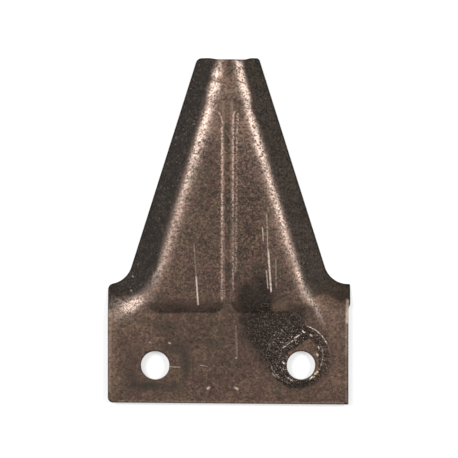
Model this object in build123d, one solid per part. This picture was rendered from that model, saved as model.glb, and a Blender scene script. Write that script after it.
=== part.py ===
from build123d import *
import os
from math import asin, atan2, cos, degrees, hypot, pi, radians, sin, tan

# Sickle section: one knife section of a mower's cutter bar, pressed from a
# single steel blank. A rectangular base with two bolt holes carries a long
# tapered blade with a blunt tip. Both tapered sides, the fillets under them
# and the shoulders are coined down to a thin edge, and a rounded bend eases
# the top face into that bevel. Two low triangular pads stand on the blade,
# with a narrow groove between them. The underside is flat, because it slides
# on the guards.
#
# The frame: the origin lies on the underside, midway between the two holes.
# X runs across the section, Y from the holes towards the tip, Z up.

os.makedirs("parts", exist_ok=True)

# Blank, in millimetres
plate_width = 76.2          # side to side of the base: one knife pitch of three inches
plate_thickness = 4.0       # the base, and the floor of the groove
blade_length = 109.0        # rear edge to the middle of the tip
base_depth = 37.8           # rear edge to the shoulders
tip_width = 19.9            # across the tip, before its corners are rounded
shoulder_radius = 7.7       # inside radius from each tapered side to its shoulder
rear_skew = 0.33            # the sheared rear edge runs this far out at each side

# Bolt holes
hole_diameter = 9.0         # clearance for an M8 knife bolt
hole_spacing = 46.2
hole_setback = 12.05        # rear edge to the line of the holes
hole_break = 0.3            # edge broken at both ends of each hole

# Coined bevel
bevel_angle = 20.0          # degrees, against the underside
tip_land = 1.05             # height of the blunt edge at the tip
heel_land = 0.85            # height of the blunt edge along the fillets and shoulders
bevel_bend = 17.5           # radius that eases the top face into the bevel

# Metal pushed out by the coining
ear_rise = 0.5              # how far the tip's ears stand past its middle
left_ear = 3.4              # width of each ear
right_ear = 2.2
left_ear_blend = 3.8        # length over which each ear falls back to the tip's middle
right_ear_blend = 2.6
bulge_reach = 0.65          # how far the right shoulder's end stands out
bulge_depth = 6.0           # how far down the side it runs at that reach
bulge_blend = 2.2           # length over which it falls back to the side

# Corners of the blank
left_tip_radius = 1.9
right_tip_radius = 1.0
left_shoulder_corner = 1.9
left_rear_corner = 1.6

# Raised pads
pad_height = 0.4            # height of the pads at their heel
pad_fall = 0.2              # how much of it they have lost at their upper end
groove_floor = 1.9          # width of the groove's floor
groove_shift = -0.2         # the groove stands this far off the centre line
groove_wall = 1.6           # width of each sloping wall along the groove
pad_start = 28.65           # rear edge to the foot of the pads' lower wall
lower_wall = 5.0            # width of that gentle wall
pad_tip_gap = 12.8          # middle of the tip to the foot of the pads' upper wall
upper_wall = 4.0            # width of that wall, gentle as well
heel_wall = 2.9             # width of the outer wall at the pads' heel
heel_inset = 12.7           # plate's side to the foot of that wall
heel_corner = 3.8           # radius of the pads' lower outer corner, at the foot
inner_corner = 1.8          # radius of the pads' upper inner corner, at the foot
knee_width = 0.4            # share of a wall's width up to where it eases off
knee_height = 0.64          # share of the pads' height reached there

# Followers of those sizes
half_width = plate_width / 2
rear_y = -hole_setback
tip_y = rear_y + blade_length
shoulder_y = rear_y + base_depth
slope = tan(radians(bevel_angle))
pad_top = plate_thickness + pad_height
clear = 3.0                 # how far the cutting tools run past the metal


def touching_line(start, centre, radius):
    """Give the line from start that touches the circle on its side nearer to
    the centre line: the angle it makes with the Y axis, and where it touches.
    The angle is that of the sight line to the circle's centre, less the angle
    whose sine is the radius over the distance."""
    across = centre[0] - start[0]
    down = start[1] - centre[1]
    angle = atan2(across, down) - asin(radius / hypot(across, down))
    return angle, (centre[0] - radius * cos(angle), centre[1] - radius * sin(angle))


# The tapered side, and the line of the bend inside it, both on the right side
fillet_centre = (half_width, shoulder_y + shoulder_radius)
taper_angle, taper_end = touching_line((tip_width / 2, tip_y), fillet_centre, shoulder_radius)
tip_bend_inset = (plate_thickness - tip_land) / slope
heel_bend_inset = (plate_thickness - heel_land) / slope
bend_start = (tip_width / 2 - tip_bend_inset / cos(taper_angle), tip_y)
bend_radius = shoulder_radius + heel_bend_inset
bend_angle, bend_end = touching_line(bend_start, fillet_centre, bend_radius)
bend_tangent = bevel_bend * tan(radians(bevel_angle) / 2)


def corner(face, x, y):
    """Give the face's vertex nearest to a point."""
    return face.vertices().sort_by_distance((x, y, 0))[0]


def right_edges():
    """Outline of the right side, from the rear edge up to the tip's ear."""
    foot = (half_width, shoulder_y - bulge_depth - bulge_blend)
    reach = (half_width + bulge_reach, shoulder_y - bulge_depth)
    rise = (0, 1)
    return [
        Line((half_width, rear_y - rear_skew), foot),
        Spline(foot, reach, tangents=(rise, rise)),
        Line(reach, (reach[0], shoulder_y)),
        Line((reach[0], shoulder_y), (half_width, shoulder_y)),
        TangentArc((half_width, shoulder_y), taper_end, tangent=(-1, 0)),
        Line(taper_end, ear_corner()),
    ]


def left_edges():
    """Outline of the left side, from the tip's ear down to the rear edge."""
    return [
        Line(mirrored(ear_corner()), mirrored(taper_end)),
        TangentArc((-half_width, shoulder_y), mirrored(taper_end), tangent=(1, 0)),
        Line((-half_width, shoulder_y), (-half_width, rear_y + rear_skew)),
    ]


def tip_edges():
    """Outline of the tip, right to left: an ear, the lower middle, an ear."""
    ear_x, ear_y = ear_corner()
    right_ear_end = (ear_x - right_ear, ear_y)
    left_ear_end = (left_ear - ear_x, ear_y)
    middle_right = (right_ear_end[0] - right_ear_blend, tip_y)
    middle_left = (left_ear_end[0] + left_ear_blend, tip_y)
    level = (-1, 0)
    return [
        Line((ear_x, ear_y), right_ear_end),
        Spline(right_ear_end, middle_right, tangents=(level, level)),
        Line(middle_right, middle_left),
        Spline(middle_left, left_ear_end, tangents=(level, level)),
        Line(left_ear_end, (-ear_x, ear_y)),
    ]


def ear_corner():
    """The right ear's outer corner: the tapered side carried on by ear_rise."""
    return tip_width / 2 - ear_rise * tan(taper_angle), tip_y + ear_rise


def mirrored(point):
    """The same point on the left side."""
    return -point[0], point[1]


def blank_face():
    """The sheared blank, seen from above, with its corners rounded."""
    rear_left = (-half_width, rear_y + rear_skew)
    rear = Line(rear_left, (half_width, rear_y - rear_skew))
    face = make_face([rear] + right_edges() + tip_edges() + left_edges()).face()
    ear_x, ear_y = ear_corner()
    for radius, x, y in (
        (left_tip_radius, -ear_x, ear_y),
        (right_tip_radius, ear_x, ear_y),
        (left_shoulder_corner, -half_width, shoulder_y),
        (left_rear_corner, *rear_left),
    ):
        face = face.fillet_2d(radius, [corner(face, x, y)])
    return face


def bevel_profile(plane, reach):
    """Section of the metal that the die takes away above the bevel. The
    plane's origin is the bend point, its X points out to the edge: level,
    then an arc that touches both, then down the bevel and back round."""
    arc_end = (bend_tangent * cos(radians(bevel_angle)), -bend_tangent * sin(radians(bevel_angle)))
    outer = (reach, -reach * slope)
    lines = [
        TangentArc((-bend_tangent, 0), arc_end, tangent=(1, 0)),
        Line(arc_end, outer),
        Polyline(outer, (reach, clear), (-bend_tangent, clear), (-bend_tangent, 0)),
    ]
    return plane * make_face(lines)


def bevel_cutter(level):
    """Die for the right side's bevel below a top face at the given height.
    The profile runs straight down the tapered side, turns about the fillet's
    centre and runs on level over the shoulder. A higher face moves the bend
    inwards by its height over the bevel's slope, so that the bevel itself is
    the same surface for the pads and for the plate."""
    shift = (level - plate_thickness) / slope
    along = Vector(sin(bend_angle), -cos(bend_angle))
    outward = Vector(cos(bend_angle), sin(bend_angle))
    lift = Vector(0, 0, level)
    reach = max(tip_bend_inset, heel_bend_inset) + shift + clear
    start = Vector(*bend_start) - outward * shift + lift
    end = Vector(*bend_end) - outward * shift + lift
    below = Vector(half_width, fillet_centre[1] - bend_radius - shift) + lift

    taper_plane = Plane(start - along * clear, x_dir=outward, z_dir=along)
    taper = extrude(bevel_profile(taper_plane, reach), amount=(end - start).length + clear)
    turn_plane = Plane(end, x_dir=outward, z_dir=along)
    centre_line = Axis((*fillet_centre, 0), (0, 0, 1))
    turn = revolve(bevel_profile(turn_plane, reach), centre_line, 90 - degrees(bend_angle))
    shoulder_plane = Plane(below, x_dir=(0, 1, 0), z_dir=(1, 0, 0))
    shoulder = extrude(bevel_profile(shoulder_plane, reach), amount=bulge_reach + clear)
    return taper + turn + shoulder


def coined(solid, level, lean=Pos(0, 0, 0)):
    """Press both bevels into a solid whose top face stands at the level, and
    leans where the dies do."""
    cutter = bevel_cutter(level)
    return solid - lean * cutter - lean * mirror(cutter, about=Plane.YZ)


def pad_section(side, spread):
    """Plan of one pad, as a face in the XY plane. Spread is 0 at the pad's
    top edge and 1 at its foot. Side is 1 on the right and -1 on the left.
    The outer side runs along the bend, over the bevel's own flat, where pad
    and plate are one surface, and its heel stands in from the plate's side."""
    inner = groove_floor / 2 + groove_wall * (1 - spread) + side * groove_shift
    lower = rear_y + pad_start + lower_wall * (1 - spread)
    upper = tip_y - pad_tip_gap - upper_wall * (1 - spread)
    heel = half_width - heel_inset - heel_wall * (1 - spread)
    seam = bend_tangent * cos(radians(bevel_angle)) / cos(bend_angle)

    def seam_x(y):
        return bend_start[0] + seam + (tip_y - y) * tan(bend_angle)

    heel_y = tip_y - (heel - bend_start[0] - seam) / tan(bend_angle)
    points = [(inner, lower), (heel, lower), (heel, heel_y), (seam_x(upper), upper), (inner, upper)]
    face = make_face(Polyline(*[(side * x, y) for x, y in points], close=True)).face()
    face = face.fillet_2d(heel_corner, [corner(face, side * heel, lower)])
    face = face.fillet_2d(inner_corner, [corner(face, side * inner, upper)])
    return face


def pad_lean(share):
    """Tilt of the plane at this share of the pads' height, about the foot of
    their lower wall, so that the pads get lower towards the tip."""
    foot_y = rear_y + pad_start
    length = tip_y - pad_tip_gap - foot_y
    angle = share * degrees(atan2(pad_fall, length))
    return Pos(0, foot_y, plate_thickness) * Rot(-angle, 0, 0) * Pos(0, -foot_y, -plate_thickness)


def pad(side):
    """One raised pad. Its walls start steep at a root a little below the
    plate's surface and ease off at the knee, and its outer side is pressed to
    the common bevel."""
    root = 0.25 * pad_height
    steepness = pad_height * knee_height / knee_width
    knee_level = plate_thickness + knee_height * pad_height
    foot = Pos(0, 0, plate_thickness - root) * pad_section(side, 1 + root / steepness)
    knee = pad_lean(knee_height) * Pos(0, 0, knee_level) * pad_section(side, 1 - knee_width)
    top = pad_lean(1) * Pos(0, 0, pad_top) * pad_section(side, 0)
    return coined(loft([foot, knee, top], ruled=True), pad_top, pad_lean(1))


def bolt_hole(side):
    """Punch for one hole: a cylinder with a small cone at each end."""
    radius = hole_diameter / 2
    x = side * hole_spacing / 2
    outer = radius + hole_break
    lower = Cone(outer, radius, hole_break, align=(Align.CENTER, Align.CENTER, Align.MIN))
    upper = Cone(radius, outer, hole_break, align=(Align.CENTER, Align.CENTER, Align.MAX))
    bore = Cylinder(radius, plate_thickness + 2 * clear)
    return (
        Pos(x, 0, plate_thickness / 2) * bore
        + Pos(x, 0, 0) * lower
        + Pos(x, 0, plate_thickness) * upper
    )


def sickle_section():
    """The whole section: the blank, its bevels, its pads and its holes."""
    blade = coined(extrude(blank_face(), amount=plate_thickness), plate_thickness)
    blade = blade + pad(-1) + pad(1)
    return blade - bolt_hole(-1) - bolt_hole(1)


section = sickle_section()
section.label = "sickle_section"
export_step(section, "parts/sickle_section.step")

print("taper half angle", round(degrees(taper_angle), 2))
print("volume mm3", round(section.volume, 1), "solids", len(section.solids()))
print("box", section.bounding_box())
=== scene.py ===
import logging
import math
from dataclasses import dataclass
from enum import Enum
from functools import reduce

import bpy
import numpy as np
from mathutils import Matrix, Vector
from mathutils.geometry import delaunay_2d_cdt


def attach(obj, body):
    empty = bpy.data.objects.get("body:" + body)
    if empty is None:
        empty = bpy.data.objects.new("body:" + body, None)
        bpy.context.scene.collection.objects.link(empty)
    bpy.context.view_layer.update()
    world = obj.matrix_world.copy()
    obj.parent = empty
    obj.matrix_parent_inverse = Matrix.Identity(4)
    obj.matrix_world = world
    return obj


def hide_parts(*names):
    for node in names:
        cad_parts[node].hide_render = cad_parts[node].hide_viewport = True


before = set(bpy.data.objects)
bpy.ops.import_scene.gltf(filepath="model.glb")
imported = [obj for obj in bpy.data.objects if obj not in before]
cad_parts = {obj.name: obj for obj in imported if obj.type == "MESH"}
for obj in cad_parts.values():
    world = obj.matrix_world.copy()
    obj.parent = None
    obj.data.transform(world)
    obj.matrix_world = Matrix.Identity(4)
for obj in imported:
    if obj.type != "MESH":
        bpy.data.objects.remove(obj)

logging.basicConfig(level=logging.INFO, format="%(levelname)s %(name)s: %(message)s")
LOG = logging.getLogger("sickle_section")

MM = 0.001
TINY = 1e-9
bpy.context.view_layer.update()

Array = np.ndarray
Point = tuple[float, float]


class Side(Enum):
    """The two sides of the section, seen from above with the tip away."""

    LEFT = -1
    RIGHT = 1


@dataclass
class SectionSizes:
    """Sizes of the section in millimetres and degrees, as in its solid model.

    The origin lies on the underside, midway between the holes. X runs across
    the section, Y from the holes towards the tip, Z up.
    """

    plate_width: float = 76.2
    plate_thickness: float = 4.0
    blade_length: float = 109.0
    base_depth: float = 37.8
    tip_width: float = 19.9
    shoulder_radius: float = 7.7
    rear_skew: float = 0.33
    hole_diameter: float = 9.0
    hole_spacing: float = 46.2
    hole_setback: float = 12.05
    bevel_angle: float = 20.0
    tip_land: float = 1.05
    heel_land: float = 0.85
    bevel_bend: float = 17.5
    ear_rise: float = 0.5
    left_ear: float = 3.4
    right_ear: float = 2.2
    left_ear_blend: float = 3.8
    right_ear_blend: float = 2.6
    bulge_reach: float = 0.65
    bulge_depth: float = 6.0
    bulge_blend: float = 2.2
    left_tip_radius: float = 1.9
    right_tip_radius: float = 1.0
    left_shoulder_corner: float = 1.9
    left_rear_corner: float = 1.6
    sharp_corner: float = 0.42
    pad_height: float = 0.4
    pad_fall: float = 0.2
    groove_floor: float = 1.9
    groove_shift: float = -0.2
    groove_wall: float = 1.6
    pad_start: float = 28.65
    lower_wall: float = 5.0
    pad_tip_gap: float = 12.8
    upper_wall: float = 4.0
    heel_wall: float = 2.9
    heel_inset: float = 12.7
    pad_corner: float = 3.8
    inner_corner: float = 1.8

    @property
    def half_width(self) -> float:
        """Half of the base's width."""
        return self.plate_width / 2

    @property
    def rear_y(self) -> float:
        """Where the middle of the rear edge lies."""
        return -self.hole_setback

    @property
    def tip_y(self) -> float:
        """Where the middle of the tip lies."""
        return self.rear_y + self.blade_length

    @property
    def shoulder_y(self) -> float:
        """Where the shoulders lie."""
        return self.rear_y + self.base_depth

    @property
    def slope(self) -> float:
        """Rise of the bevel over its run."""
        return math.tan(math.radians(self.bevel_angle))

    @property
    def bend_tangent(self) -> float:
        """From the bend point to each end of the arc that rounds it."""
        return self.bevel_bend * math.tan(math.radians(self.bevel_angle) / 2)

    @property
    def fillet_centre(self) -> Point:
        """Centre of the right fillet, level with the plate's side."""
        return self.half_width, self.shoulder_y + self.shoulder_radius


def touching_line(start: Point, centre: Point, radius: float) -> tuple[float, Point]:
    """Find the line from a point that touches a circle on its inner side.

    Its angle to the Y axis is that of the sight line to the circle's centre,
    less the angle whose sine is the radius over the distance.

    Args:
        start: The point that the line leaves.
        centre: The circle's centre, further out and lower.
        radius: The circle's radius.

    Returns:
        The angle in radians, and the point where the line touches.
    """
    across = centre[0] - start[0]
    down = start[1] - centre[1]
    angle = math.atan2(across, down) - math.asin(radius / math.hypot(across, down))
    touch = (centre[0] - radius * math.cos(angle), centre[1] - radius * math.sin(angle))
    return angle, touch


def smooth(t: Array) -> Array:
    """Ease a 0 to 1 ramp: three t squared less two t cubed, held at its ends."""
    t = np.clip(t, 0.0, 1.0)
    return t * t * (3.0 - 2.0 * t)


@dataclass(frozen=True)
class RandomField:
    """A smooth random field: random values on a square grid, eased between them.

    The cell is the grid's pitch in millimetres, and the seed is that of the values.
    """

    cell: float
    seed: int
    size: int = 512

    def at(self, x: Array, y: Array) -> Array:
        """Read the field.

        Args:
            x: Places across, in millimetres.
            y: Places along, in millimetres.

        Returns:
            The field at each place, from -1 to 1.
        """
        size = self.size
        table = np.random.default_rng(self.seed).uniform(-1.0, 1.0, (size, size))
        gx, gy = x / self.cell + size / 2, y / self.cell + size / 2
        ix, iy = np.floor(gx).astype(int), np.floor(gy).astype(int)
        tx, ty = smooth(gx - ix), smooth(gy - iy)
        ix, iy = ix % size, iy % size
        jx, jy = (ix + 1) % size, (iy + 1) % size
        low = table[iy, ix] * (1 - tx) + table[iy, jx] * tx
        high = table[jy, ix] * (1 - tx) + table[jy, jx] * tx
        return low * (1 - ty) + high * ty


@dataclass(frozen=True)
class Ease:
    """An amount that sets in from a start over a run, which is negative where it sets in backwards."""

    amount: float
    start: float
    run: float

    def at(self, places: Array) -> Array:
        """The amount times the eased share of the run that each place has passed."""
        return self.amount * smooth((places - self.start) / self.run)


def eased(level: float, eases: tuple[Ease, ...], places: Array) -> Array:
    """Add several eased amounts to a level."""
    return sum((ease.at(places) for ease in eases), level)


def turning(points: Array, faces: Array) -> Array:
    """Twice the area of each triangle, positive where its corners turn left."""
    a, b, c = (points[faces[:, corner]] for corner in range(3))
    return (b[:, 0] - a[:, 0]) * (c[:, 1] - a[:, 1]) - (b[:, 1] - a[:, 1]) * (c[:, 0] - a[:, 0])


@dataclass
class Outline:
    """The sheared blank's outline, as a closed path that keeps metal on its left."""

    sizes: SectionSizes
    step: float = 0.33
    least_steps: int = 6

    def line(self, start: Point, end: Point) -> Array:
        """Sample a straight run at even steps, without its end.

        Args:
            start: Where it starts.
            end: Where it ends.

        Returns:
            The run's points, N by 2.
        """
        a, b = np.array(start), np.array(end)
        count = max(1, math.ceil(np.linalg.norm(b - a) / self.step))
        t = np.arange(count)[:, None] / count
        return a + (b - a) * t

    def arc(self, centre: Point, radius: float, start: float, end: float) -> Array:
        """Sample an arc, without its end.

        Args:
            centre: The arc's centre.
            radius: Its radius.
            start: Its first angle in radians, from the X axis.
            end: Its last angle; lower than the first where it turns clockwise.

        Returns:
            The arc's points, centre plus radius times cosine and sine.
        """
        count = max(self.least_steps, math.ceil(abs(end - start) * radius / self.step))
        angle = start + (end - start) * np.arange(count) / count
        return np.stack(
            (centre[0] + radius * np.cos(angle), centre[1] + radius * np.sin(angle)), axis=1
        )

    def s_curve(self, start: Point, end: Point, along_x: bool) -> Array:
        """Sample a run that eases from one line to a parallel one, without its end.

        Args:
            start: Where it leaves the first line.
            end: Where it meets the second one.
            along_x: Whether the lines run along X, and not along Y.

        Returns:
            The points, even along the lines and eased across them.
        """
        a, b = np.array(start), np.array(end)
        count = max(self.least_steps, math.ceil(np.linalg.norm(b - a) / self.step))
        t = np.arange(count) / count
        across = smooth(t)
        tx, ty = (t, across) if along_x else (across, t)
        return np.stack((a[0] + (b[0] - a[0]) * tx, a[1] + (b[1] - a[1]) * ty), axis=1)

    def rounded(
        self, before: Point, corner: Point, after: Point, radius: float
    ) -> tuple[Point, Array, Point]:
        """Round a convex corner between two straight runs.

        The arc's centre lies on the inside, at the radius from both runs. It
        touches each run at radius over the tangent of half the inner angle.

        Args:
            before: A point on the run into the corner.
            corner: The corner.
            after: A point on the run out of it.
            radius: The rounding's radius.

        Returns:
            Where the arc starts, its points, and where it ends.
        """
        c = np.array(corner)
        into = (c - np.array(before)) / np.linalg.norm(c - np.array(before))
        out = (np.array(after) - c) / np.linalg.norm(np.array(after) - c)
        turn = math.atan2(into[0] * out[1] - into[1] * out[0], float(into @ out))
        back = radius * math.tan(turn / 2)
        start, end = c - into * back, c + out * back
        centre = start + radius * np.array((-into[1], into[0]))
        first = math.atan2(start[1] - centre[1], start[0] - centre[0])
        return tuple(start), self.arc(tuple(centre), radius, first, first + turn), tuple(end)

    def loop(self) -> Array:
        """Walk the whole outline, counter-clockwise from the rear left corner.

        Returns:
            The points of the closed path, in millimetres.
        """
        s = self.sizes
        half, rear, tip, shoulder = s.half_width, s.rear_y, s.tip_y, s.shoulder_y
        angle, taper_end = touching_line((s.tip_width / 2, tip), s.fillet_centre, s.shoulder_radius)
        ear_x, ear_y = s.tip_width / 2 - s.ear_rise * math.tan(angle), tip + s.ear_rise
        rear_left, rear_right = (-half, rear + s.rear_skew), (half, rear - s.rear_skew)
        reach = half + s.bulge_reach
        bulge_foot = (half, shoulder - s.bulge_depth - s.bulge_blend)
        bulge_low = (reach, shoulder - s.bulge_depth)
        right_end, left_end = ear_x - s.right_ear, s.left_ear - ear_x

        a0, rear_left_arc, a1 = self.rounded((-half, 0), rear_left, rear_right, s.left_rear_corner)
        b0, rear_right_arc, b1 = self.rounded(rear_left, rear_right, bulge_foot, s.sharp_corner)
        c0, bulge_arc, c1 = self.rounded(bulge_low, (reach, shoulder), (0, shoulder), s.sharp_corner)
        d0, right_tip, d1 = self.rounded(taper_end, (ear_x, ear_y), (0, ear_y), s.right_tip_radius)
        left_taper = (-taper_end[0], taper_end[1])
        e0, left_tip, e1 = self.rounded((0, ear_y), (-ear_x, ear_y), left_taper, s.left_tip_radius)

        corner = s.left_shoulder_corner
        drop = math.sqrt((s.shoulder_radius + corner) ** 2 - corner**2)
        corner_centre = (corner - half, s.fillet_centre[1] - drop)
        meet = math.atan2(drop, -corner)
        return np.concatenate(
            (
                rear_left_arc,
                self.line(a1, b0),
                rear_right_arc,
                self.line(b1, bulge_foot),
                self.s_curve(bulge_foot, bulge_low, along_x=False),
                self.line(bulge_low, c0),
                bulge_arc,
                self.line(c1, (half, shoulder)),
                self.arc(s.fillet_centre, s.shoulder_radius, 1.5 * math.pi, math.pi + angle),
                self.line(taper_end, d0),
                right_tip,
                self.line(d1, (right_end, ear_y)),
                self.s_curve((right_end, ear_y), (right_end - s.right_ear_blend, tip), along_x=True),
                self.line((right_end - s.right_ear_blend, tip), (left_end + s.left_ear_blend, tip)),
                self.s_curve((left_end + s.left_ear_blend, tip), (left_end, ear_y), along_x=True),
                self.line((left_end, ear_y), e0),
                left_tip,
                self.line(e1, left_taper),
                self.arc(
                    (-half, s.fillet_centre[1]), s.shoulder_radius, -angle, meet - math.pi
                ),
                self.arc(corner_centre, corner, meet, math.pi),
                self.line((-half, corner_centre[1]), a0),
            )
        )


@dataclass
class TopFace:
    """Height of the top face: plate, coined bevels, pads and fine relief."""

    sizes: SectionSizes
    wave_height: float = 0.02
    long_share: float = 0.6
    long_waves: RandomField = RandomField(9.0, 11)
    short_waves: RandomField = RandomField(3.7, 12)
    dent_depth: float = 0.02
    dent_bias: float = 0.35
    dents: RandomField = RandomField(1.3, 13)

    def side_bend(self, x: Array, y: Array) -> Array:
        """Measure how far a place lies outside the right side's bend line.

        The bend runs straight beside the tapered side, then round the fillet's
        centre, then level over the shoulder, so the distance is taken to a
        line, to a circle or to a level, by where the place lies.

        Args:
            x: Places across, in millimetres.
            y: Places along, in millimetres.

        Returns:
            Distance past the bend, positive towards the edge.
        """
        s = self.sizes
        angle, _ = touching_line((s.tip_width / 2, s.tip_y), s.fillet_centre, s.shoulder_radius)
        start = (
            s.tip_width / 2 - (s.plate_thickness - s.tip_land) / s.slope / math.cos(angle),
            s.tip_y,
        )
        radius = s.shoulder_radius + (s.plate_thickness - s.heel_land) / s.slope
        bend, end = touching_line(start, s.fillet_centre, radius)
        beside = (x - start[0]) * math.cos(bend) + (y - start[1]) * math.sin(bend)
        cx, cy = s.fillet_centre
        around = radius - np.hypot(x - cx, y - cy)
        over = y - (cy - radius)
        above = (x - end[0]) * math.sin(bend) - (y - end[1]) * math.cos(bend) < 0
        return np.where(above, beside, np.where(x > cx, over, around))

    def drop(self, past: Array) -> Array:
        """Height lost at a distance past the bend.

        It is nought as far as the arc, then the arc's radius less the square
        root of its square less the run's, then the bevel's slope times the
        distance.

        Args:
            past: Distance past the bend, in millimetres.

        Returns:
            The height lost, in millimetres.
        """
        s = self.sizes
        tangent, radius = s.bend_tangent, s.bevel_bend
        run = np.clip(past + tangent, 0.0, radius * math.sin(math.radians(s.bevel_angle)))
        arc = radius - np.sqrt(radius**2 - run**2)
        return np.where(past > tangent * math.cos(math.radians(s.bevel_angle)), past * s.slope, arc)

    def corner_share(
        self, across: Array, along: Array, wide: float, deep: float, radius: float
    ) -> Array:
        """Share of the height that two walls allow, round their rounded corner.

        The distance inside the foot is the radius less the distance to the
        corner's centre, and the wall's width there turns evenly from one
        wall's to the other's.

        Args:
            across: Distance inside the foot of the wall that faces sideways.
            along: Distance inside the foot of the wall that faces lengthwise.
            wide: Width of the first wall.
            deep: Width of the second wall.
            radius: Radius of the corner at the foot.

        Returns:
            The share, nought at the foot and 1 at the top edge.
        """
        u, v = np.maximum(radius - across, 0.0), np.maximum(radius - along, 0.0)
        gap = np.hypot(u, v)
        safe = np.maximum(gap, TINY)
        width = np.hypot(u / safe * wide, v / safe * deep)
        straight = np.minimum(across / wide, along / deep)
        rounded = np.minimum((radius - gap) / np.maximum(width, TINY), straight)
        return np.where(gap > 0.0, rounded, straight)

    def pad_wall(self, x: Array, y: Array, side: Side) -> Array:
        """Share of the pad's height that its walls allow: nought at their foot.

        Args:
            x: Places across, in millimetres.
            y: Places along, in millimetres.
            side: Which pad.

        Returns:
            The share, even across each wall and 1 at the top edge.
        """
        s = self.sizes
        out = x * side.value
        inner = out - s.groove_floor / 2 - side.value * s.groove_shift
        lower = y - s.rear_y - s.pad_start
        upper = s.tip_y - s.pad_tip_gap - y
        heel = s.half_width - s.heel_inset - out
        return np.minimum.reduce(
            (
                self.corner_share(inner, lower, s.groove_wall, s.lower_wall, s.pad_corner),
                self.corner_share(heel, lower, s.heel_wall, s.lower_wall, s.pad_corner),
                self.corner_share(inner, upper, s.groove_wall, s.upper_wall, s.inner_corner),
            )
        )

    def lift(self, x: Array, y: Array) -> Array:
        """Height that the pads add.

        It is their own height, which falls evenly towards the tip, times 1
        less the square of what the walls' share lacks, so that each wall is
        steep at its foot and eases off.

        Args:
            x: Places across, in millimetres.
            y: Places along, in millimetres.

        Returns:
            The added height, in millimetres.
        """
        s = self.sizes
        share = np.maximum(self.pad_wall(x, y, Side.LEFT), self.pad_wall(x, y, Side.RIGHT))
        foot = s.rear_y + s.pad_start
        along = (y - foot) / (s.tip_y - s.pad_tip_gap - foot)
        own = s.pad_height - s.pad_fall * np.clip(along, 0.0, 1.0)
        return own * (1.0 - (1.0 - np.clip(share, 0.0, 1.0)) ** 2)

    def bend(self, x: Array, y: Array) -> Array:
        """Distance past the nearer bend, which the pads move in by their height over the slope."""
        past = np.maximum(self.side_bend(x, y), self.side_bend(-x, y))
        return past + self.lift(x, y) / self.sizes.slope

    def height(self, x: Array, y: Array) -> Array:
        """Height of the top face: the plate's thickness and the pads' lift, less the drop."""
        return self.sizes.plate_thickness + self.lift(x, y) - self.drop(self.bend(x, y))

    def tilt(self, x: Array, y: Array) -> Array:
        """How far the face has turned from level, 0, to the bevel, 1."""
        s = self.sizes
        whole = s.bevel_bend * math.sin(math.radians(s.bevel_angle))
        return (self.bend(x, y) + s.bend_tangent) / whole

    def relief(self, x: Array, y: Array) -> Array:
        """Small unevenness of the pressed steel, nowhere above the plain face.

        It is a mean of long and short waves, and dents where a finer field
        lies below a bias.

        Args:
            x: Places across, in millimetres.
            y: Places along, in millimetres.

        Returns:
            The height added, nought or less, in millimetres.
        """
        short_share = 1 - self.long_share
        waves = self.long_share * self.long_waves.at(x, y) + short_share * self.short_waves.at(x, y)
        dents = np.minimum(0.0, self.dents.at(x, y) + self.dent_bias)
        return self.wave_height * (waves - 1.0) / 2 + self.dent_depth * dents

    def surface(self, x: Array, y: Array) -> Array:
        """Height of the top face with its relief."""
        return self.height(x, y) + self.relief(x, y)


@dataclass(frozen=True)
class Blot:
    """A soft oval patch: its middle, its reach across and along, its strength and its turn in degrees."""

    middle: Point
    reach: Point
    strength: float
    turn: float = 0.0

    def at(self, x: Array, y: Array) -> Array:
        """Strength times a bell curve of the distance, measured in the oval's own reach.

        Args:
            x: Places across, in millimetres.
            y: Places along, in millimetres.

        Returns:
            The patch's strength at each place.
        """
        c, s = math.cos(math.radians(self.turn)), math.sin(math.radians(self.turn))
        dx, dy = x - self.middle[0], y - self.middle[1]
        u, v = (dx * c + dy * s) / self.reach[0], (dy * c - dx * s) / self.reach[1]
        return self.strength * np.exp(-(u**2 + v**2))


def blotted(blots: tuple[Blot, ...], x: Array, y: Array) -> Array:
    """Add several soft patches."""
    return sum(blot.at(x, y) for blot in blots)


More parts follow.
